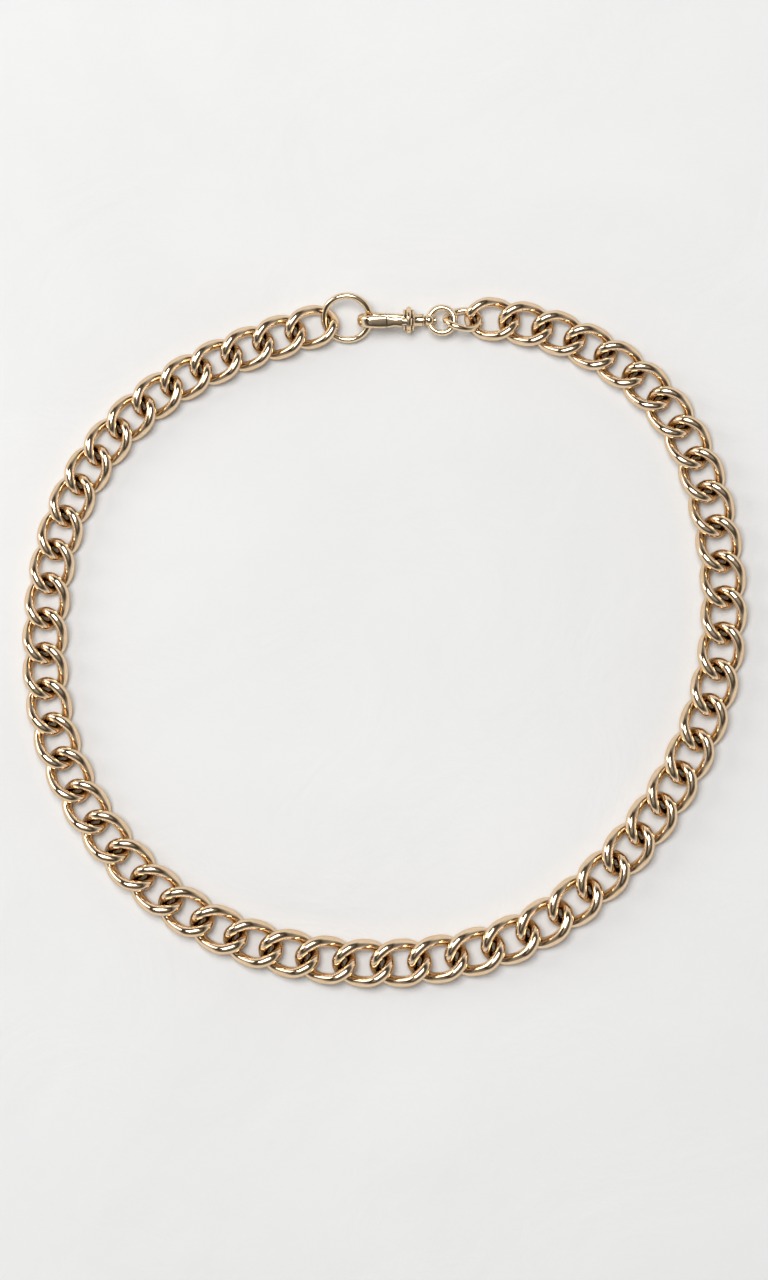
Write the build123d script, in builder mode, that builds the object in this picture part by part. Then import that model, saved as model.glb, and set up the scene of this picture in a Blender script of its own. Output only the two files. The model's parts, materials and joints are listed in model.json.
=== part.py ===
"""Chain necklace: graduated curb links lying in a closed loop, with an end ring and a swivel clip.

Millimetres, +Z up. The necklace lies on the XY plane with its clasp towards +Y, and the origin is
the middle of its bounding box, on the surface that it lies on. Links are numbered from the end
ring, anticlockwise seen from above, to the small link at the clip's swivel eye.
"""

import os
from math import asin, cos, pi, radians, sin, sqrt, tan

from build123d import *

# Curb links: the largest link's sizes, on the centre line of the wire
link_count = 55
link_half_length = 5.6
link_half_width = 4.35
link_wire = 2.35
link_twist = 52.0
graduation = 0.10
largest_link = 31
centre_links = (28, 29, 30)
corners_per_oval = 8
corner_fill = 0.47

# Lie of the chain: from the middle of the end ring round to the middle of the swivel eye
lie_points = [
    (-8.05, 69.37), (-29.15, 62.77), (-51.65, 50.27), (-67.15, 29.77), (-72.65, 5.27),
    (-70.65, -20.23), (-59.15, -42.73), (-40.65, -59.23), (-17.15, -67.73), (8.35, -68.73),
    (32.35, -61.73), (51.35, -45.73), (65.35, -24.73), (72.35, -0.23), (70.85, 25.27),
    (61.35, 48.77), (41.35, 64.27), (12.25, 68.67),
]

# End ring: its wire passes through the first link and through the hook
ring_radius = 4.9
ring_wire = 1.4
ring_gap = 0.3
ring_roll = 22.0

# Small oval link between the chain and the swivel eye
small_length = 7.4
small_half_width = 2.9
small_wire = 1.4
small_gap = 0.6
small_roll = 44.0
small_twist = -20.0
small_drop = 0.13

# Swivel eye: a ring with a bored boss
eye_radius = 2.7
eye_wire = 1.3
boss_radius = 1.25
boss_flat = 1.05
post_radius = 0.5
post_clearance = 0.05
end_gap = 0.1

# Clip body, along its long axis: hook, collar, neck, end plate, post and rivet head
clip_height = 3.25
clip_roll = 12.0
hook_end = -5.9
hook_half_height = 3.1
bar_thickness = 1.4
bar_width = 2.8
bar_rounding = 0.55
beak_tip = 0.3
collar_start = 4.0
collar_end = 6.3
collar_step = 0.35
collar_shoulder = 2.3
collar_rim = 2.55
collar_radius = 2.95
neck_radius = 1.25
neck_waist = 1.0
plate_radius = 1.5
plate_thickness = 0.35
head_radius = 0.85
head_length = 0.5

# Gate lever, its pin and its leaf spring
gate_end_gap = 0.25
gate_side_gap = 0.12
gate_lap = 1.1
gate_rear_gap = 0.3
knuckle_width = 1.5
knuckle_radius = 0.95
channel_width = 1.24
channel_start = 1.3
channel_depth = 0.75
pin_radius = 0.4
pin_fit = 0.01
pin_running = 0.05
pin_x = 5.1
pin_y = 1.95
pin_length = 3.9
spring_thickness = 0.16
spring_width = 1.0

os.makedirs("parts", exist_ok=True)


def write(part, name):
    """Label a finished sub-part and write it under its node name."""
    part.label = name
    export_step(part, f"parts/{name}.step")


def link_size(number):
    """Size of a curb link relative to the largest one."""
    phase = 2 * pi * (number - largest_link) / (link_count + 1)
    return 1 - graduation * (1 - cos(phase)) / 2


def rolled(plane, angle):
    """A plane turned about its own x direction, positive from y towards z."""
    turn = radians(angle)
    return Plane(
        origin=plane.origin,
        x_dir=plane.x_dir,
        z_dir=plane.z_dir * cos(turn) - plane.y_dir * sin(turn),
    )


def oval_route(plane, half_length, half_width, twist):
    """Closed centre line of an oval link, twisted about its long axis: runs and tangent arcs."""
    reach = 1 / cos(pi / corners_per_oval)
    points = []
    for corner in range(corners_per_oval):
        angle = 2 * pi * (corner + 0.5) / corners_per_oval
        x = half_length * reach * cos(angle)
        y = half_width * reach * sin(angle)
        turn = radians(-twist * cos(angle))
        points.append(plane.from_local_coords(Vector(x, y * cos(turn), y * sin(turn))))
    radii = []
    for before, here, after in zip(points[-1:] + points[:-1], points, points[1:] + points[:1]):
        run = min((here - before).length, (after - here).length)
        bend = (here - before).get_angle(after - here)
        radii.append(corner_fill * run / tan(radians(bend) / 2))
    with BuildLine() as route:
        FilletPolyline(*points, radius=radii, close=True)
    return route.wires()[0]


def wire_link(plane, half_length, half_width, wire, twist):
    """Closed link of round wire, swept in two halves that meet face to face."""
    spans = oval_route(plane, half_length, half_width, twist).order_edges()
    middle = len(spans) // 2
    with BuildPart() as link:
        for half in (Wire(spans[:middle]), Wire(spans[middle:])):
            with BuildSketch(Plane(half @ 0, z_dir=half % 0)):
                Circle(wire / 2)
            sweep(path=half)
    return link.part


def curb_link(number):
    """One curb link, lying on the surface at its place along the chain."""
    size = link_size(number)
    return wire_link(
        link_planes[number],
        link_half_length * size,
        link_half_width * size,
        link_wire * size,
        link_twist,
    )


# Lie of the chain, and each curb link's place on it
with BuildLine() as lie:
    Spline(*lie_points)
lie_edge = lie.edges()[0]
ring_spot = lie_edge @ 0
eye_centre = lie_edge @ 1 + Vector(0, 0, clip_height)

first_size = link_size(1)
last_size = link_size(link_count)
last_reach = link_half_length * last_size
ring_to_first = (
    ring_radius - ring_wire / 2 - ring_gap
    + (link_half_length - link_wire / 2) * first_size
)
last_to_small = last_reach - (link_wire * last_size + small_wire) / 2 - small_gap
eye_to_small = eye_radius - (eye_wire + small_wire) / 2 - small_gap
last_to_eye = last_to_small + small_length + eye_to_small
chain_run = lie_edge.length - ring_to_first - last_to_eye
steps = [(link_size(n) + link_size(n + 1)) / 2 for n in range(1, link_count)]
step_length = chain_run / sum(steps)
flat_box = oval_route(Plane.XY, link_half_length, link_half_width, link_twist).bounding_box()
lying_height = flat_box.max.Z + link_wire / 2

link_planes = {}
along = ring_to_first
for number in range(1, link_count + 1):
    spot = lie_edge.position_at(along, PositionMode.LENGTH)
    link_planes[number] = Plane(
        origin=spot + Vector(0, 0, lying_height * link_size(number)),
        x_dir=lie_edge.tangent_at(along, PositionMode.LENGTH),
        z_dir=(0, 0, 1),
    )
    if number < link_count:
        along += step_length * steps[number - 1]

# Curb links, one node each, and the three at the bottom of the loop as one group
for number in range(1, link_count + 1):
    if number not in centre_links:
        write(curb_link(number), f"curb_link_{number:02d}")
with BuildPart() as centre_group:
    for number in centre_links:
        add(curb_link(number))
write(centre_group.part, "curb_links_centre")

# End ring, through its place in the first link and its place in the hook, rolled about that chord
chain_side = ring_spot + (lie_edge % 0) * ring_radius
chain_side.Z = link_planes[1].origin.Z
hook_side_turn = asin((eye_centre.Y - ring_spot.Y) / ring_radius)
hook_side = Vector(
    ring_spot.X + ring_radius * cos(hook_side_turn), eye_centre.Y, clip_height
)
ring_chord = hook_side - chain_side
chord_plane = rolled(
    Plane(
        origin=(chain_side + hook_side) / 2,
        x_dir=ring_chord,
        z_dir=Vector(0, 0, 1) - ring_chord * (ring_chord.Z / ring_chord.length**2),
    ),
    ring_roll,
)
ring_offset = sqrt(ring_radius**2 - (ring_chord.length / 2) ** 2)
ring_plane = Plane(
    origin=chord_plane.from_local_coords(Vector(0, ring_offset, 0)),
    x_dir=chord_plane.x_dir,
    z_dir=chord_plane.z_dir,
)
with BuildPart() as end_ring:
    with BuildSketch(ring_plane * Plane.XZ):
        with Locations((ring_radius, 0)):
            Circle(ring_wire / 2)
    revolve(axis=Axis(ring_plane.origin, ring_plane.z_dir))
write(end_ring.part, "end_ring")

# Small oval link, rolled and slightly twisted so that its inner side rides over its neighbours
last_plane = link_planes[link_count]
flat_run = Vector(eye_centre.X - last_plane.origin.X, eye_centre.Y - last_plane.origin.Y, 0)
small_rise = eye_centre.Z - last_plane.origin.Z
small_run = flat_run.normalized()
small_heading = small_run * (small_length - 2.4) + Vector(0, 0, small_rise)
small_origin = last_plane.origin + small_run * (
    (last_to_small + flat_run.length - eye_to_small) / 2
) + Vector(0, 0, small_rise / 2 - small_drop)
small_plane = rolled(
    Plane(
        origin=small_origin,
        x_dir=small_heading,
        z_dir=Vector(0, 0, 1) - small_heading * (small_heading.Z / small_heading.length**2),
    ),
    small_roll,
)
small_half_length = (flat_run.length - eye_to_small - last_to_small) / 2
write(
    wire_link(small_plane, small_half_length, small_half_width, small_wire, small_twist),
    "small_link",
)

# Swivel eye: the boss stands on the clip's long axis, with the post's bore through it
boss_centre = eye_centre - Vector(eye_radius, 0, 0)
boss_edge = sqrt(boss_radius**2 - boss_flat**2)
eye_section = Plane(origin=eye_centre, x_dir=(1, 0, 0), z_dir=(0, -1, 0))
boss_section = Plane(origin=boss_centre, x_dir=(1, 0, 0), z_dir=(0, -1, 0))
with BuildPart() as swivel_eye:
    with BuildSketch(eye_section):
        with Locations((eye_radius, 0)):
            Circle(eye_wire / 2)
    revolve(axis=Axis(eye_centre, (0, 0, 1)))
    with BuildSketch(boss_section):
        with BuildLine():
            Polyline(
                (boss_flat, boss_edge), (boss_flat, 0), (-boss_flat, 0), (-boss_flat, boss_edge)
            )
            ThreePointArc((-boss_flat, boss_edge), (0, boss_radius), (boss_flat, boss_edge))
        make_face()
    revolve(axis=Axis(boss_centre, (1, 0, 0)))
    with BuildSketch(Plane(origin=boss_centre, z_dir=(1, 0, 0))):
        Circle(post_radius + post_clearance)
    extrude(amount=2 * boss_flat, both=True, mode=Mode.SUBTRACT)
write(swivel_eye.part, "swivel_eye")

# The clip's side plane: x along its long axis, y towards the gate, z across its thickness
clip_origin = Vector(0, eye_centre.Y, clip_height)
side_plane = rolled(Plane(origin=clip_origin, x_dir=(1, 0, 0), z_dir=(0, -1, 0)), clip_roll)
bar_centre = hook_half_height - bar_thickness / 2
bar_under = hook_half_height - bar_thickness
arch_x = hook_end + hook_half_height
plate_end = boss_centre.X - boss_flat - end_gap
plate_start = plate_end - plate_thickness
head_start = boss_centre.X + boss_flat + end_gap
head_end = head_start + head_length
slot_floor = pin_y - knuckle_radius - gate_side_gap
bar_section = Plane(
    origin=side_plane.from_local_coords(Vector(beak_tip, bar_centre, 0)),
    x_dir=side_plane.y_dir,
    z_dir=(-1, 0, 0),
)

with BuildPart() as clip_body:
    # Hook: one flat bar from the beak's tip, round the arch and back to the collar
    with BuildLine(side_plane) as hook_line:
        Line((beak_tip, bar_centre), (arch_x, bar_centre))
        ThreePointArc((arch_x, bar_centre), (arch_x - bar_centre, 0), (arch_x, -bar_centre))
        Line((arch_x, -bar_centre), (collar_start + 2 * collar_step, -bar_centre))
    with BuildSketch(bar_section):
        RectangleRounded(bar_thickness, bar_width, bar_rounding)
    sweep(path=hook_line.wires()[0])
    # Lap under the beak's tip for the gate's tongue
    with BuildSketch(side_plane):
        with Locations((beak_tip, bar_under)):
            Rectangle(2 * gate_lap, bar_thickness)
    extrude(amount=bar_width, both=True, mode=Mode.SUBTRACT)
    # Collar, neck, end plate, post and rivet head, turned about the long axis
    with BuildSketch(side_plane):
        with BuildLine():
            rim_start = collar_start + 2 * collar_step
            rim_end = collar_end - 2 * collar_step
            Polyline(
                (collar_start, 0), (collar_start, collar_shoulder),
                (collar_start + collar_step, collar_rim), (rim_start, collar_rim),
            )
            ThreePointArc(
                (rim_start, collar_rim), ((rim_start + rim_end) / 2, collar_radius),
                (rim_end, collar_rim),
            )
            Polyline(
                (rim_end, collar_rim), (collar_end - collar_step, collar_rim),
                (collar_end, collar_shoulder), (collar_end, neck_radius),
            )
            ThreePointArc(
                (collar_end, neck_radius), ((collar_end + plate_start) / 2, neck_waist),
                (plate_start, neck_radius),
            )
            Polyline(
                (plate_start, neck_radius), (plate_start, plate_radius),
                (plate_end, plate_radius), (plate_end, post_radius), (head_start, post_radius),
                (head_start, head_radius), (head_start + head_length / 2, head_radius),
                (head_end, head_radius / 2), (head_end, 0), (collar_start, 0),
            )
        make_face()
    revolve(axis=Axis(clip_origin, (1, 0, 0)))
    # Slot in the collar for the gate's knuckle, and the pin's hole through both cheeks
    with BuildSketch(side_plane):
        with Locations(((collar_start + pin_x) / 2 - gate_side_gap, slot_floor)):
            Rectangle(
                pin_x - collar_start + 2 * gate_side_gap, hook_half_height,
                align=(Align.CENTER, Align.MIN),
            )
        with Locations((pin_x, pin_y)):
            Circle(knuckle_radius + gate_side_gap)
    extrude(amount=knuckle_width / 2 + gate_side_gap, both=True, mode=Mode.SUBTRACT)
    with BuildSketch(side_plane):
        with Locations((pin_x, pin_y)):
            Circle(pin_radius + pin_fit)
    extrude(amount=pin_length, both=True, mode=Mode.SUBTRACT)
write(clip_body.part, "clip_body")

# Gate lever: a bar that closes the hook, its tongue under the beak and its knuckle in the collar
gate_front = beak_tip + gate_end_gap
gate_rear = collar_start - gate_rear_gap
tongue_front = beak_tip - gate_lap + gate_end_gap
tongue_top = bar_centre - gate_side_gap
with BuildPart() as gate_lever:
    with BuildSketch(side_plane):
        with BuildLine():
            Polyline(
                (gate_front, hook_half_height), (gate_rear, hook_half_height),
                (gate_rear, bar_under), (tongue_front, bar_under), (tongue_front, tongue_top),
                (gate_front, tongue_top), (gate_front, hook_half_height),
            )
        make_face()
    extrude(amount=bar_width / 2, both=True)
    with BuildSketch(side_plane):
        with Locations((pin_x, pin_y)):
            Circle(knuckle_radius)
        with Locations((gate_rear, bar_under)):
            Rectangle(
                pin_x - gate_rear, pin_y + knuckle_radius - bar_under, align=(Align.MIN, Align.MIN)
            )
    extrude(amount=knuckle_width / 2, both=True)
    # Channel for the leaf spring, and the bore for the pin
    with BuildSketch(side_plane):
        with Locations((channel_start, bar_under)):
            Rectangle(
                collar_start - channel_start, 2 * channel_depth, align=(Align.MIN, Align.CENTER)
            )
    extrude(amount=channel_width / 2, both=True, mode=Mode.SUBTRACT)
    with BuildSketch(side_plane):
        with Locations((pin_x, pin_y)):
            Circle(pin_radius + pin_running)
    extrude(amount=bar_width, both=True, mode=Mode.SUBTRACT)
write(gate_lever.part, "gate_lever")

# Gate pin, riveted across the collar's cheeks
with BuildPart() as gate_pin:
    with BuildSketch(side_plane):
        with Locations((pin_x, pin_y)):
            Circle(pin_radius)
    extrude(amount=pin_length / 2, both=True)
write(gate_pin.part, "gate_pin")

# Leaf spring: from the slot's floor up into the gate's channel
spring_foot = (pin_x - 0.65, slot_floor + spring_thickness / 2 + pin_fit)
spring_bow = (3.3, 1.45)
spring_tip = (1.9, bar_under + channel_depth - spring_thickness)
with BuildPart() as gate_spring:
    with BuildLine(side_plane) as spring_line:
        ThreePointArc(spring_foot, spring_bow, spring_tip)
    spring_start = Plane(
        origin=spring_line.wires()[0] @ 0,
        x_dir=side_plane.z_dir,
        z_dir=spring_line.wires()[0] % 0,
    )
    with BuildSketch(spring_start):
        Rectangle(spring_width, spring_thickness)
    sweep(path=spring_line.wires()[0])
write(gate_spring.part, "gate_spring")

print(f"largest link pitch {step_length:.2f} mm, chain along its lie {lie_edge.length:.1f} mm")
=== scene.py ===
"""Chain necklace: polished curb links, end ring and swivel clip on a pale plaster surface."""
import json
import math

import bmesh
import bpy
import numpy as np
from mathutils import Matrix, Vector


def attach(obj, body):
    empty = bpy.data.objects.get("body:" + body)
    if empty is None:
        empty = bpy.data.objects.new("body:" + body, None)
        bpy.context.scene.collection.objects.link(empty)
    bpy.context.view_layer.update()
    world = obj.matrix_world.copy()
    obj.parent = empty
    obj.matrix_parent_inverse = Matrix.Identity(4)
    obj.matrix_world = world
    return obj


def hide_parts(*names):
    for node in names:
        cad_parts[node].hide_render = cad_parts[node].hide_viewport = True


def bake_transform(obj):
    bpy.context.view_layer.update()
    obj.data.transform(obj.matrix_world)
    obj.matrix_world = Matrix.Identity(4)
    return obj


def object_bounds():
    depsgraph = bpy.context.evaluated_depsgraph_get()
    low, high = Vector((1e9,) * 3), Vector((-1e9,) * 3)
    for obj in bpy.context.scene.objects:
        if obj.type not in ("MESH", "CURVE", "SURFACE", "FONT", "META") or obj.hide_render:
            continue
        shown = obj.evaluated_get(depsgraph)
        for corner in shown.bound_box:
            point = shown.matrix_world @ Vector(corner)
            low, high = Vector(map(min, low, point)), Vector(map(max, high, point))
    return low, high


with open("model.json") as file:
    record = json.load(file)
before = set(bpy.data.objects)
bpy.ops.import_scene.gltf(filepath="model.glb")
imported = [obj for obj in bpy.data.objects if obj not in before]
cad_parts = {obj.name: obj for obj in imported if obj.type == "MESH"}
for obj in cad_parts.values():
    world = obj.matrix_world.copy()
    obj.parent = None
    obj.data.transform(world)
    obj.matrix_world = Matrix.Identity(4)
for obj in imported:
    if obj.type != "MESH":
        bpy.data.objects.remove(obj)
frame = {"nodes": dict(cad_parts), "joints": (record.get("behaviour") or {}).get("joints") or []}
cad_low, cad_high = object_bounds()

MM = 0.001
TAU = 2 * math.pi

# Links: the largest one's centre line, as the frame has it, its wire, and the graduation
LINK_COUNT = 55
HALF_LENGTH = 5.60 * MM
HALF_WIDTH = 4.34 * MM
LINK_HEIGHT = 0.985
LINK_WIRE = 2.46 * MM
END_WIRE = 2.33 * MM
LINK_TWIST = 52.0
CORNERS = 8
CORNER_FILL = 0.47
GRADUATION = 0.10
LARGEST_LINK = 31
CENTRE_LINKS = (28, 29, 30)
LINK_STEPS = 144
WIRE_STEPS = 36
SMOOTHING = 40

# End ring, small link and eye
RING_RADIUS = 4.95 * MM
RING_WIRE = 1.40 * MM
SMALL_HALF_WIDTH = 2.9 * MM
SMALL_WIRE = 1.44 * MM
SMALL_TWIST = -20.0
EYE_RADIUS = 2.7 * MM
EYE_WIRE = 1.36 * MM

# Field of view: 274.4 mm of height, seen from straight above
VIEW_HEIGHT = 0.2744
VIEW_CENTRE = (-0.00015, 0.00014)
CAMERA_HEIGHT = 0.9
SENSOR_HEIGHT = 36.0


# ---------------------------------------------------------------- camera
def add_camera():
    """Straight down, with the clasp at the top."""
    data = bpy.data.cameras.new("camera")
    data.sensor_fit = "VERTICAL"
    data.sensor_height = SENSOR_HEIGHT
    data.lens = SENSOR_HEIGHT * (CAMERA_HEIGHT - 0.003) / VIEW_HEIGHT
    data.clip_start = 0.01
    data.clip_end = 20.0
    camera = bpy.data.objects.new("camera", data)
    camera.location = (VIEW_CENTRE[0], VIEW_CENTRE[1], CAMERA_HEIGHT)
    bpy.context.scene.collection.objects.link(camera)
    bpy.context.scene.camera = camera
    return camera


add_camera()


# ---------------------------------------------------------------- mesh helpers
def make_object(name, verts, faces):
    """A smooth-shaded mesh object from vertices in the row frame."""
    mesh = bpy.data.meshes.new(name)
    mesh.from_pydata([tuple(v) for v in verts], [], faces)
    mesh.polygons.foreach_set("use_smooth", [True] * len(mesh.polygons))
    mesh.update()
    obj = bpy.data.objects.new(name, mesh)
    bpy.context.scene.collection.objects.link(obj)
    return obj


def grid_faces(rows, columns, close_rows=True, close_columns=True, start=0):
    """Quads of a grid of points, row by row, closed round either way."""
    faces = []
    for r in range(rows if close_rows else rows - 1):
        for c in range(columns if close_columns else columns - 1):
            r2 = (r + 1) % rows
            c2 = (c + 1) % columns
            faces.append((start + r * columns + c, start + r2 * columns + c,
                          start + r2 * columns + c2, start + r * columns + c2))
    return faces


def unit(v):
    return v / np.linalg.norm(v, axis=-1, keepdims=True)


def closed_tube(centre_line, radius, around=WIRE_STEPS):
    """A closed round wire along a closed line: its vertices and faces."""
    count = len(centre_line)
    tangent = unit(np.roll(centre_line, -1, 0) - np.roll(centre_line, 1, 0))
    normal = np.zeros_like(centre_line)
    first = np.cross(tangent[0], (0.0, 0.0, 1.0))
    normal[0] = first / np.linalg.norm(first)
    for i in range(1, count):
        step = normal[i - 1] - tangent[i] * np.dot(normal[i - 1], tangent[i])
        normal[i] = step / np.linalg.norm(step)
    # what is left over after one turn is spread along the whole line
    last = normal[-1] - tangent[0] * np.dot(normal[-1], tangent[0])
    last /= np.linalg.norm(last)
    side = np.cross(tangent[0], normal[0])
    gap = math.atan2(np.dot(last, side), np.dot(last, normal[0]))
    binormal = np.cross(tangent, normal)
    radii = np.full(count, radius) if np.isscalar(radius) else radius
    verts = []
    for i in range(count):
        angle = TAU * np.arange(around) / around - gap * i / count
        ring = (np.cos(angle)[:, None] * normal[i] + np.sin(angle)[:, None] * binormal[i])
        verts.append(centre_line[i] + radii[i] * ring)
    return np.vstack(verts), [face[::-1] for face in grid_faces(count, around)]


def solid_frame(obj, pick=None):
    """A CAD solid's centroid and principal directions (longest first), from its closed mesh."""
    mesh = obj.data
    mesh.calc_loop_triangles()
    co = np.array([v.co for v in mesh.vertices], float)
    tri = np.array([t.vertices for t in mesh.loop_triangles])
    if pick is not None:
        tri = tri[pick(co, tri)]
    a, b, c = co[tri[:, 0]], co[tri[:, 1]], co[tri[:, 2]]
    origin = co[tri.ravel()].mean(0)
    a, b, c = a - origin, b - origin, c - origin
    volume = np.einsum("ij,ij->i", a, np.cross(b, c)) / 6
    total = volume.sum()
    centre = ((a + b + c) * volume[:, None]).sum(0) / 4 / total
    s = a + b + c
    second = (np.einsum("i,ij,ik->jk", volume, a, a) + np.einsum("i,ij,ik->jk", volume, b, b)
              + np.einsum("i,ij,ik->jk", volume, c, c)
              + np.einsum("i,ij,ik->jk", volume, s, s)) / 20 / total
    second -= np.outer(centre, centre)
    values, vectors = np.linalg.eigh(second)
    order = np.argsort(values)[::-1]
    return origin + centre, vectors[:, order].T


def oval_line(centre, x_dir, z_dir, half_length, half_width, twist, height=1.0):
    """Centre line of a link: eight rounded corners, turned about its long axis."""
    y_dir = np.cross(z_dir, x_dir)
    angle = TAU * (np.arange(CORNERS) + 0.5) / CORNERS
    reach = 1 / math.cos(math.pi / CORNERS)
    turn = np.radians(-twist) * np.cos(angle)
    width = half_width * reach * np.sin(angle)
    corner = np.stack([half_length * reach * np.cos(angle), width * np.cos(turn),
                       height * width * np.sin(turn)], 1)
    per_corner = LINK_STEPS // CORNERS
    points = []
    for before, here, after in zip(np.roll(corner, 1, 0), corner, np.roll(corner, -1, 0)):
        into, out = here - before, after - here
        run = CORNER_FILL * min(np.linalg.norm(into), np.linalg.norm(out))
        start, end = here - run * unit(into), here + run * unit(out)
        weight = math.cos(math.acos(np.clip(np.dot(unit(into), unit(out)), -1, 1)) / 2)
        t = ((np.arange(per_corner) + 0.5) / per_corner)[:, None]
        share = (1 - t) ** 2, 2 * weight * t * (1 - t), t ** 2
        points.append((share[0] * start + share[1] * here + share[2] * end) / sum(share))
    line = np.vstack(points)
    for _ in range(SMOOTHING):
        line = line + 0.5 * ((np.roll(line, 1, 0) + np.roll(line, -1, 0)) / 2 - line)
    return (centre + line[:, :1] * x_dir + line[:, 1:2] * y_dir + line[:, 2:] * z_dir)


def link_size(number):
    """Size of a curb link relative to the largest one."""
    phase = TAU * (number - LARGEST_LINK) / (LINK_COUNT + 1)
    return 1 - GRADUATION * (1 - math.cos(phase)) / 2


# ---------------------------------------------------------------- materials
class Nodes:
    """A short way to write a node tree."""

    def __init__(self, tree):
        self.tree = tree
        tree.nodes.clear()

    def add(self, kind, values=None, **props):
        node = self.tree.nodes.new(kind)
        for key, value in props.items():
            setattr(node, key, value)
        for key, value in (values or {}).items():
            node.inputs[key].default_value = value
        return node

    def link(self, source, target):
        self.tree.links.new(source, target)

    def math(self, operation, a, b):
        node = self.add("ShaderNodeMath", operation=operation)
        for i, item in enumerate((a, b)):
            if isinstance(item, (int, float)):
                node.inputs[i].default_value = item
            else:
                self.link(item, node.inputs[i])
        return node.outputs[0]

    def ramp(self, source, stops):
        node = self.add("ShaderNodeValToRGB")
        elements = node.color_ramp.elements
        while len(elements) < len(stops):
            elements.new(0.5)
        for element, (position, colour) in zip(elements, stops):
            element.position = position
            element.color = (*colour, 1.0)
        self.link(source, node.inputs[0])
        return node.outputs[0]


EDGE_GOLD = (0.68, 0.54, 0.38, 1.0)
# painted shade in crevices: its colour, and how far the ambient occlusion reaches
CREVICE_SHADE = (0.36, 0.34, 0.30)
CREVICE_SHADE_REACH = 1.6 * MM


def gold_material(name, tint=(0.94, 0.72, 0.50), shade=(0.88, 0.655, 0.42), rough=0.075,
                  scratch=1.0):
    """Polished warm gold: cloudy tone, wiped roughness, fine scratches and handling dents."""
    material = bpy.data.materials.new(name)
    material.use_nodes = True
    n = Nodes(material.node_tree)
    out = n.add("ShaderNodeOutputMaterial")
    shader = n.add("ShaderNodeBsdfPrincipled", {"Metallic": 1.0, "Specular Tint": EDGE_GOLD})
    n.link(shader.outputs[0], out.inputs[0])
    place = n.add("ShaderNodeTexCoord").outputs["Object"]

    cloud = n.add("ShaderNodeTexNoise", {"Scale": 420.0, "Detail": 4.0, "Roughness": 0.55})
    n.link(place, cloud.inputs["Vector"])
    tone = n.ramp(cloud.outputs[0], [(0.35, shade), (0.62, tint)])
    # painted shade: base colour darkened by ambient occlusion where links and clasp parts nest
    crevice_occlusion = n.add("ShaderNodeAmbientOcclusion", {"Distance": CREVICE_SHADE_REACH}, samples=8)
    painted_shade = n.ramp(crevice_occlusion.outputs["AO"], [(0.25, CREVICE_SHADE), (0.85, (1.0, 1.0, 1.0))])
    mixed = n.add("ShaderNodeMix", {"Factor": 1.0}, data_type="RGBA", blend_type="MULTIPLY")
    n.link(tone, mixed.inputs["A"])
    n.link(painted_shade, mixed.inputs["B"])
    n.link(mixed.outputs["Result"], shader.inputs["Base Color"])

    wipe = n.add("ShaderNodeTexNoise", {"Scale": 900.0, "Detail": 6.0, "Roughness": 0.62,
                                        "Distortion": 0.4})
    n.link(place, wipe.inputs["Vector"])
    spread = n.add("ShaderNodeMapRange", {"From Min": 0.3, "From Max": 0.75,
                                          "To Min": rough * 0.7, "To Max": rough * 1.9})
    n.link(wipe.outputs[0], spread.inputs["Value"])
    n.link(spread.outputs[0], shader.inputs["Roughness"])

    # long thin scratches, two directions of wiping
    turned = n.add("ShaderNodeMapping", {"Rotation": (0.3, 0.5, 0.9),
                                         "Scale": (3200.0, 260.0, 900.0)})
    n.link(place, turned.inputs["Vector"])
    lines = n.add("ShaderNodeTexNoise", {"Scale": 1.0, "Detail": 3.0, "Roughness": 0.7})
    n.link(turned.outputs[0], lines.inputs["Vector"])
    crossed = n.add("ShaderNodeMapping", {"Rotation": (0.9, 0.2, -0.7),
                                          "Scale": (300.0, 2800.0, 700.0)})
    n.link(place, crossed.inputs["Vector"])
    more = n.add("ShaderNodeTexNoise", {"Scale": 1.0, "Detail": 3.0, "Roughness": 0.7})
    n.link(crossed.outputs[0], more.inputs["Vector"])
    dents = n.add("ShaderNodeTexNoise", {"Scale": 520.0, "Detail": 2.0, "Roughness": 0.5})
    n.link(place, dents.inputs["Vector"])
    both = n.math("ADD", lines.outputs[0], more.outputs[0])
    height = n.math("ADD", n.math("MULTIPLY", both, 0.25 * scratch),
                    n.math("MULTIPLY", dents.outputs[0], 1.4))
    bump = n.add("ShaderNodeBump", {"Strength": 0.32, "Distance": 0.00004})
    n.link(height, bump.inputs["Height"])
    n.link(bump.outputs[0], shader.inputs["Normal"])
    return material


def steel_material(name):
    """Rolled spring strip: grey, with fine lengthwise lines."""
    material = bpy.data.materials.new(name)
    material.use_nodes = True
    n = Nodes(material.node_tree)
    out = n.add("ShaderNodeOutputMaterial")
    shader = n.add("ShaderNodeBsdfPrincipled", {"Metallic": 1.0})
    n.link(shader.outputs[0], out.inputs[0])
    place = n.add("ShaderNodeTexCoord").outputs["Object"]
    turned = n.add("ShaderNodeMapping", {"Scale": (300.0, 6000.0, 6000.0)})
    n.link(place, turned.inputs["Vector"])
    lines = n.add("ShaderNodeTexNoise", {"Scale": 1.0, "Detail": 4.0})
    n.link(turned.outputs[0], lines.inputs["Vector"])
    n.link(n.ramp(lines.outputs[0], [(0.3, (0.42, 0.40, 0.38)), (0.7, (0.66, 0.64, 0.61))]),
           shader.inputs["Base Color"])
    spread = n.add("ShaderNodeMapRange", {"To Min": 0.22, "To Max": 0.45})
    n.link(lines.outputs[0], spread.inputs["Value"])
    n.link(spread.outputs[0], shader.inputs["Roughness"])
    return material


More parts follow.
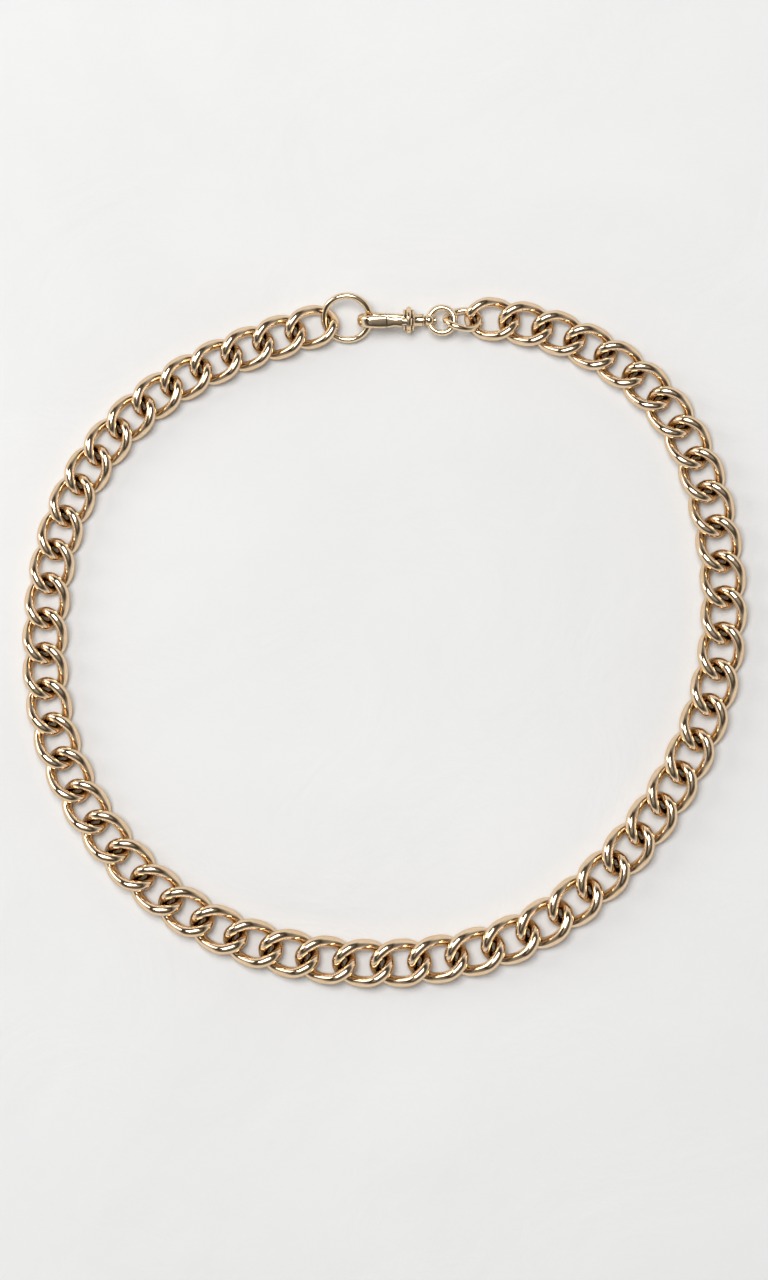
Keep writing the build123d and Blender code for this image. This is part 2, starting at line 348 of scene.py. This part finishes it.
def plaster_material(name):
    """Pale limewashed plaster: cloudy grey white with trowel marks and faint pits."""
    material = bpy.data.materials.new(name)
    material.use_nodes = True
    n = Nodes(material.node_tree)
    out = n.add("ShaderNodeOutputMaterial")
    shader = n.add("ShaderNodeBsdfPrincipled", {"Roughness": 0.75, "Specular IOR Level": 0.25})
    n.link(shader.outputs[0], out.inputs[0])
    place = n.add("ShaderNodeTexCoord").outputs["Object"]
    cloud = n.add("ShaderNodeTexNoise", {"Scale": 9.0, "Detail": 7.0, "Roughness": 0.6,
                                         "Distortion": 0.6})
    n.link(place, cloud.inputs["Vector"])
    n.link(n.ramp(cloud.outputs[0], [(0.3, (0.81, 0.81, 0.808)), (0.7, (0.865, 0.865, 0.864))]),
           shader.inputs["Base Color"])
    trowel = n.add("ShaderNodeTexNoise", {"Scale": 30.0, "Detail": 8.0, "Roughness": 0.62,
                                          "Distortion": 1.1})
    n.link(place, trowel.inputs["Vector"])
    pits = n.add("ShaderNodeTexNoise", {"Scale": 260.0, "Detail": 4.0, "Roughness": 0.6})
    n.link(place, pits.inputs["Vector"])
    height = n.math("ADD", trowel.outputs[0], n.math("MULTIPLY", pits.outputs[0], 0.12))
    bump = n.add("ShaderNodeBump", {"Strength": 0.35, "Distance": 0.0012})
    n.link(height, bump.inputs["Height"])
    n.link(bump.outputs[0], shader.inputs["Normal"])
    return material


link_gold = gold_material("link_gold")
clasp_gold = gold_material("clasp_gold", tint=(0.93, 0.74, 0.51), shade=(0.87, 0.66, 0.42),
                           rough=0.08)
spring_steel = steel_material("spring_steel")
plaster = plaster_material("plaster")


def finish_piece(obj, body, material, slot, *nodes):
    """Gives a piece its material, and says what it rides on and stands for."""
    obj.data.materials.append(material)
    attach(obj, body)
    if nodes:
        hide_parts(*nodes)
    return obj


# ---------------------------------------------------------------- curb links
def link_mesh(centre, x_dir, number):
    """One curb link's vertices and faces, at its place."""
    size = link_size(number)
    z_dir = np.array((0.0, 0.0, 1.0))
    line = oval_line(centre, x_dir, z_dir, HALF_LENGTH * size, HALF_WIDTH * size, LINK_TWIST,
                     LINK_HEIGHT)
    wire = END_WIRE if number in (1, LINK_COUNT) else LINK_WIRE
    return closed_tube(line, wire * size / 2)


def level(direction):
    flat = np.array((direction[0], direction[1], 0.0))
    return flat / np.linalg.norm(flat)


def islands(obj):
    """The separate solids of a CAD node, as lists of triangle numbers, from left to right."""
    mesh = obj.data
    mesh.calc_loop_triangles()
    co = np.array([v.co for v in mesh.vertices], float)
    tri = np.array([t.vertices for t in mesh.loop_triangles])
    keys = {}
    index = np.zeros(len(co), int)
    for i, v in enumerate(np.round(co, 7)):
        index[i] = keys.setdefault(tuple(v), len(keys))
    parent = list(range(len(keys)))

    def root(i):
        while parent[i] != i:
            parent[i] = parent[parent[i]]
            i = parent[i]
        return i

    for a, b, c in index[tri]:
        parent[root(a)] = root(b)
        parent[root(b)] = root(c)
    group = np.array([root(i) for i in index[tri[:, 0]]])
    found = [np.nonzero(group == g)[0] for g in np.unique(group)]
    return sorted(found, key=lambda t: co[tri[t].ravel(), 0].mean())


for number in range(1, LINK_COUNT + 1):
    if number in CENTRE_LINKS:
        continue
    node = f"curb_link_{number:02d}"
    centre, axes = solid_frame(frame["nodes"][node])
    verts, faces = link_mesh(centre, level(axes[0]), number)
    finish_piece(make_object(f"link_{number:02d}_wire", verts, faces),
                 f"link_{number:02d}", link_gold, "link_metal", node)

centre_node = frame["nodes"]["curb_links_centre"]
all_verts, all_faces, offset = [], [], 0
for number, solid in zip(CENTRE_LINKS, islands(centre_node)):
    centre, axes = solid_frame(centre_node, pick=lambda co, tri, solid=solid: solid)
    verts, faces = link_mesh(centre, level(axes[0]), number)
    all_verts.append(verts)
    all_faces += [tuple(i + offset for i in face) for face in faces]
    offset += len(verts)
finish_piece(make_object("centre_links_wire", np.vstack(all_verts), all_faces),
             "centre_links", link_gold, "link_metal", "curb_links_centre")

# ---------------------------------------------------------------- end ring and small link
ring_centre, ring_axes = solid_frame(frame["nodes"]["end_ring"])
angle = TAU * np.arange(180) / 180
ring_line = (ring_centre + RING_RADIUS * (np.cos(angle)[:, None] * ring_axes[0]
                                          + np.sin(angle)[:, None] * ring_axes[1]))
finish_piece(make_object("ring_wire", *closed_tube(ring_line, RING_WIRE / 2)),
             "ring", clasp_gold, "clasp_metal", "end_ring")

small_centre, small_axes = solid_frame(frame["nodes"]["small_link"])
small_z = small_axes[2] if small_axes[2][2] > 0 else -small_axes[2]
small_co = np.array([v.co for v in frame["nodes"]["small_link"].data.vertices])
small_reach = ((small_co - small_centre) @ small_axes[0]).max() - SMALL_WIRE / 2
small_line = oval_line(small_centre, small_axes[0], small_z, small_reach, SMALL_HALF_WIDTH,
                       SMALL_TWIST)
finish_piece(make_object("small_link_wire", *closed_tube(small_line, SMALL_WIRE / 2)),
             "small", clasp_gold, "clasp_metal", "small_link")

# ---------------------------------------------------------------- clip
joints = {j["name"]: j for j in frame["joints"]}
gate_joint = joints["gate_hinge"]
CLIP_X = np.array((1.0, 0.0, 0.0))
CLIP_Z = unit(np.array(gate_joint["axis"]))
CLIP_Y = np.cross(CLIP_Z, CLIP_X)
PIN = np.array((5.1, 1.95)) * MM
CLIP_ORIGIN = np.array(gate_joint["pos_m"]) - PIN[0] * CLIP_X - PIN[1] * CLIP_Y
BOSS_X = joints["swivel"]["pos_m"][0] / MM
SECTION_STEPS = 48


def clip_place(points):
    """Millimetres along, above and across the clip to metres in the row frame."""
    points = np.asarray(points, float) * MM
    return (CLIP_ORIGIN + points[:, :1] * CLIP_X + points[:, 1:2] * CLIP_Y
            + points[:, 2:] * CLIP_Z)


def loft(stations):
    """A closed bar through oval sections.

    Each station is (x, y, heading in degrees, half thickness, half width, squareness).
    """
    t = TAU * np.arange(SECTION_STEPS) / SECTION_STEPS
    verts = []
    for x, y, heading, half_thick, half_wide, square in stations:
        h = math.radians(heading)
        up = np.array((-math.sin(h), math.cos(h), 0.0))
        across = np.array((0.0, 0.0, 1.0))
        cos, sin = np.cos(t), np.sin(t)
        u = half_thick * np.sign(sin) * np.abs(sin) ** (2 / square)
        v = half_wide * np.sign(cos) * np.abs(cos) ** (2 / square)
        verts.append(np.array((x, y, 0.0)) + u[:, None] * up + v[:, None] * across)
    rows = len(stations)
    faces = grid_faces(rows, SECTION_STEPS, close_rows=False)
    verts = np.vstack(verts)
    faces.append(tuple(range(SECTION_STEPS)))
    faces.append(tuple((rows - 1) * SECTION_STEPS + i for i in range(SECTION_STEPS))[::-1])
    return clip_place(verts), faces


def eased(points, steps):
    """Rows of numbers blended smoothly from each row to the next."""
    points = np.array(points, float)
    rows = []
    for a, b in zip(points[:-1], points[1:]):
        for i in range(steps):
            share = i / steps
            rows.append(a + (b - a) * (share * share * (3 - 2 * share)))
    rows.append(points[-1])
    return np.array(rows)


def turned(profile, steps=96):
    """A solid of revolution about the clip's long axis, from (x, radius) points."""
    t = TAU * np.arange(steps) / steps
    verts = []
    for x, r in profile:
        verts.append(np.stack([np.full(steps, x), r * np.cos(t), r * np.sin(t)], 1))
    rows = len(profile)
    faces = grid_faces(rows, steps, close_rows=False)
    faces.append(tuple(range(steps)))
    faces.append(tuple((rows - 1) * steps + i for i in range(steps))[::-1])
    return clip_place(np.vstack(verts)), faces


def arc_points(x, r, radius, start, end, steps=10):
    """Points of a circular moulding, angles in degrees from +x towards +radius."""
    angles = np.radians(np.linspace(start, end, steps))
    return [(x + radius * math.cos(a), r + radius * math.sin(a)) for a in angles]


def outward(obj):
    """Turns a closed mesh's faces outward."""
    mesh = bmesh.new()
    mesh.from_mesh(obj.data)
    bmesh.ops.recalc_face_normals(mesh, faces=mesh.faces)
    mesh.to_mesh(obj.data)
    mesh.free()
    return obj


def apply_modifiers(obj):
    """Makes an object's modifiers part of its mesh."""
    graph = bpy.context.evaluated_depsgraph_get()
    mesh = bpy.data.meshes.new_from_object(obj.evaluated_get(graph))
    obj.modifiers.clear()
    obj.data = mesh
    return obj


def boolean(obj, other, operation):
    """obj cut by or joined with other, which is used up."""
    modifier = obj.modifiers.new("cut", "BOOLEAN")
    modifier.operation = operation
    modifier.solver = "EXACT"
    modifier.object = other
    apply_modifiers(obj)
    bpy.data.objects.remove(other)
    return obj


def cut_box(low_corner, high_corner):
    """A box for cutting, in clip millimetres."""
    (x0, y0, z0), (x1, y1, z1) = low_corner, high_corner
    corners = [(x, y, z) for x in (x0, x1) for y in (y0, y1) for z in (z0, z1)]
    faces = [(0, 1, 3, 2), (4, 6, 7, 5), (0, 4, 5, 1), (2, 3, 7, 6), (0, 2, 6, 4), (1, 5, 7, 3)]
    return outward(make_object("cut", clip_place(corners), faces))


def cross_cylinder(x, y, radius, half_width, rim=0.0, steps=72):
    """A cylinder across the clip, its rims rounded by rim."""
    profile = [(-half_width, radius - rim)]
    if rim:
        profile += [(-half_width + rim * (1 - math.cos(a)), radius - rim * (1 - math.sin(a)))
                    for a in np.radians(np.linspace(15, 90, 6))]
        profile += [(-z, r) for z, r in profile[::-1]]
    else:
        profile.append((half_width, radius))
    t = TAU * np.arange(steps) / steps
    verts = np.vstack([np.stack([x + r * np.cos(t), y + r * np.sin(t), np.full(steps, z)], 1)
                       for z, r in profile])
    rows = len(profile)
    faces = grid_faces(rows, steps, close_rows=False)
    faces.append(tuple(range(steps)))
    faces.append(tuple((rows - 1) * steps + i for i in range(steps))[::-1])
    return outward(make_object("across", clip_place(verts), faces))


def crease(obj, degrees=32.0):
    """Smooth shading, with edges sharper than this kept crisp."""
    mesh = obj.data
    mesh.polygons.foreach_set("use_smooth", [True] * len(mesh.polygons))
    mesh.set_sharp_from_angle(angle=math.radians(degrees))
    return obj


# Hook: from the beak's tip over the arch and back under, into the collar
ARCH_X = -2.8
BAR_Y = 2.4
hook_rows = [
    # x, y, heading, half thickness, half width, squareness
    (0.30, BAR_Y, 180, 0.62, 1.18, 3.4),
    (0.26, BAR_Y, 180, 0.68, 1.30, 3.2),
    (-0.6, BAR_Y, 180, 0.70, 1.38, 2.9),
    (-1.8, BAR_Y, 180, 0.70, 1.38, 2.7),
    (ARCH_X, BAR_Y, 180, 0.70, 1.34, 2.6),
]
hook = list(eased(hook_rows[:2], 3)) + list(eased(hook_rows[1:], 8))[1:]
for i in range(1, 33):
    turn = math.pi * i / 32
    hook.append((ARCH_X - BAR_Y * math.sin(turn), BAR_Y * math.cos(turn), 180 + 180 * i / 32,
                 0.70, 1.34 - 0.10 * math.sin(turn) - 0.02 * i / 32, 2.6))
hook += list(eased([(ARCH_X, -BAR_Y, 360, 0.70, 1.32, 2.6), (0.5, -BAR_Y, 360, 0.68, 1.18, 2.5),
                    (4.6, -BAR_Y + 0.1, 360, 0.62, 0.95, 2.4)], 10))[1:]
clip = outward(make_object("clip_body_metal", *loft(hook)))
lap = cut_box((-0.8, 1.0, -2.0), (1.5, 2.4, 2.0))
boolean(clip, lap, "DIFFERENCE")

# Collar with its mouldings, neck and end plate, turned in one
collar_profile = (
    [(4.0, 0.0), (4.0, 2.02)] + arc_points(4.22, 2.10, 0.24, 200, 20, 12)
    + arc_points(4.62, 2.32, 0.13, 215, 300, 5)
    + arc_points(5.15, 2.42, 0.52, 172, 8, 22)
    + arc_points(5.68, 2.32, 0.13, 240, 325, 5)
    + arc_points(6.06, 2.10, 0.24, 160, -20, 12)
    + [(6.30, 1.95), (6.31, 1.46), (6.38, 1.38)]
    + [(x, 1.27 + 0.08 * ((x - 7.25) / 0.8) ** 2) for x in np.linspace(6.45, 8.05, 14)]
    + [(8.08, 1.24)] + arc_points(8.24, 1.26, 0.14, 165, 15, 10)
    + [(BOSS_X - 1.15, 1.12), (BOSS_X - 1.15, 0.0)]
)
collar = outward(make_object("collar", *turned(collar_profile)))
boolean(collar, cut_box((3.7, 0.88, -0.87), (5.1, 4.0, 0.87)), "DIFFERENCE")
boolean(collar, cross_cylinder(PIN[0] / MM, PIN[1] / MM, 1.07, 0.87), "DIFFERENCE")
boolean(clip, collar, "UNION")
# Post through the eye, with its rivet head
post_profile = ([(BOSS_X - 1.3, 0.0), (BOSS_X - 1.3, 0.5), (BOSS_X + 1.15, 0.5),
                 (BOSS_X + 1.15, 0.80)] + arc_points(BOSS_X + 1.25, 0.45, 0.40, 75, 10, 8)
                + [(BOSS_X + 1.65, 0.0)])
boolean(clip, outward(make_object("post", *turned(post_profile, 64))), "UNION")
finish_piece(crease(clip), "clip", clasp_gold, "clasp_metal", "clip_body")

# Gate lever: waisted bar, tongue, knuckle and the spring's channel
gate_rows = [(0.55, BAR_Y, 0, 0.62, 1.20, 3.4)]
for share in np.linspace(0, 1, 25):
    gate_rows.append((0.59 + 3.07 * share, BAR_Y, 0, 0.70,
                      1.30 - 0.14 * share - 0.24 * math.sin(math.pi * share) ** 2, 3.0))
gate_rows.append((3.70, BAR_Y, 0, 0.62, 1.06, 3.2))
gate = outward(make_object("gate_lever_metal", *loft(gate_rows)))
boolean(gate, cut_box((-0.55, 1.74, -1.0), (0.8, 2.26, 1.0)), "UNION")
arm_rows = [(3.3, 2.33, 0, 0.58, 0.84, 2.8), (4.2, 2.32, 0, 0.57, 0.74, 2.5),
            (5.1, 2.28, 0, 0.60, 0.74, 2.4)]
boolean(gate, outward(make_object("arm", *loft(eased(arm_rows, 6)))), "UNION")
boolean(gate, cross_cylinder(PIN[0] / MM, PIN[1] / MM, 0.95, 0.75, 0.12), "UNION")
boolean(gate, cut_box((1.3, 0.6, -0.62), (4.0, 2.45, 0.62)), "DIFFERENCE")
boolean(gate, cross_cylinder(PIN[0] / MM, PIN[1] / MM, 0.45, 1.2), "DIFFERENCE")
finish_piece(crease(gate), "gate", clasp_gold, "clasp_metal", "gate_lever")

# Swivel eye: a level ring with a round bored boss on the post
eye_centre = CLIP_ORIGIN + np.array((BOSS_X * MM + EYE_RADIUS, 0.0, 0.0))
eye_line = eye_centre + EYE_RADIUS * np.stack([np.cos(angle), np.sin(angle), 0 * angle], 1)
eye = outward(make_object("swivel_eye_metal", *closed_tube(eye_line, EYE_WIRE / 2)))
boss_profile = ([(BOSS_X - 1.04, 0.0)]
                + arc_points(BOSS_X, 0.0, 1.27, 145, 35, 30)
                + [(BOSS_X + 1.04, 0.0)])
boolean(eye, outward(make_object("boss", *turned(boss_profile))), "UNION")
bore_profile = [(BOSS_X - 1.4, 0.56), (BOSS_X + 1.4, 0.56)]
boolean(eye, outward(make_object("bore", *turned(bore_profile, 48))), "DIFFERENCE")
finish_piece(crease(eye), "eye", clasp_gold, "clasp_metal", "swivel_eye")

# Leaf spring: a fixed strip from its foot in the collar's slot to its tip at the lever
SPRING_FOOT, SPRING_BOW, SPRING_TIP = (4.42, 0.97), (3.13, 1.54), (1.92, 2.28)
spring_rows = []
for share in np.linspace(0, 1, 25):
    weights = (1 - share) ** 2, 2 * share * (1 - share), share ** 2
    x, y = np.dot(weights, (SPRING_FOOT, SPRING_BOW, SPRING_TIP))
    dx, dy = 2 * ((1 - share) * np.subtract(SPRING_BOW, SPRING_FOOT)
                  + share * np.subtract(SPRING_TIP, SPRING_BOW))
    spring_rows.append((x, y, math.degrees(math.atan2(dy, dx)), 0.08, 0.5, 7.0))
spring = outward(make_object("gate_spring_strip", *loft(spring_rows)))
crease(spring).data.materials.append(spring_steel)
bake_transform(spring)
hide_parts("gate_spring")

gate_pin = frame["nodes"]["gate_pin"]
gate_pin.data.materials.clear()
gate_pin.data.materials.append(clasp_gold)

# ---------------------------------------------------------------- floor
FLOOR_REACH = 1.5
floor_corners = [(-FLOOR_REACH, -FLOOR_REACH, 0), (FLOOR_REACH, -FLOOR_REACH, 0),
                 (FLOOR_REACH, FLOOR_REACH, 0), (-FLOOR_REACH, FLOOR_REACH, 0)]
floor = make_object("floor", floor_corners, [(0, 1, 2, 3)])
floor.data.materials.append(plaster)
floor.location = (0, 0, cad_low[2])


# ---------------------------------------------------------------- light
def add_area(name, place, target, size, watts, colour=(1, 1, 1)):
    """A softbox at place, facing target."""
    data = bpy.data.lights.new(name, "AREA")
    data.shape = "RECTANGLE"
    data.size, data.size_y = size
    data.energy = watts
    data.color = colour
    lamp = bpy.data.objects.new(name, data)
    bpy.context.scene.collection.objects.link(lamp)
    lamp.location = place
    aim = np.array(target, float) - np.array(place, float)
    lamp.rotation_euler = Vector(aim).to_track_quat("-Z", "Y").to_euler()
    return lamp


add_area("overhead", (-0.25, 0.35, 1.5), (0, 0, 0), (0.95, 0.7), 17.5, (1.0, 1.0, 1.0))
add_area("side", (-1.3, 0.5, 0.75), (0, 0, 0), (0.5, 0.9), 5.5, (1.0, 0.995, 0.985))

world = bpy.data.worlds.new("world")
world.use_nodes = True
bpy.context.scene.world = world
w = Nodes(world.node_tree)
world_out = w.add("ShaderNodeOutputWorld")
sky = w.add("ShaderNodeBackground", {"Strength": 0.8})
w.link(sky.outputs[0], world_out.inputs[0])
direction = w.add("ShaderNodeTexCoord").outputs["Generated"]
parts = w.add("ShaderNodeSeparateXYZ")
w.link(direction, parts.inputs[0])
room = w.add("ShaderNodeTexNoise", {"Scale": 2.2, "Detail": 2.0, "Roughness": 0.5})
w.link(direction, room.inputs["Vector"])
level_noise = w.math("MULTIPLY", w.math("SUBTRACT", room.outputs[0], 0.5), 0.45)
w.link(w.ramp(w.math("ADD", parts.outputs[2], level_noise),
              [(0.0, (0.985, 0.99, 1.0)), (0.34, (0.96, 0.965, 0.975)),
               (0.55, (0.30, 0.29, 0.28)), (0.70, (0.05, 0.045, 0.04)),
               (0.86, (0.12, 0.115, 0.11)), (1.0, (0.46, 0.455, 0.45))]),
       sky.inputs["Color"])
bpy.context.scene.view_settings.view_transform = "Standard"
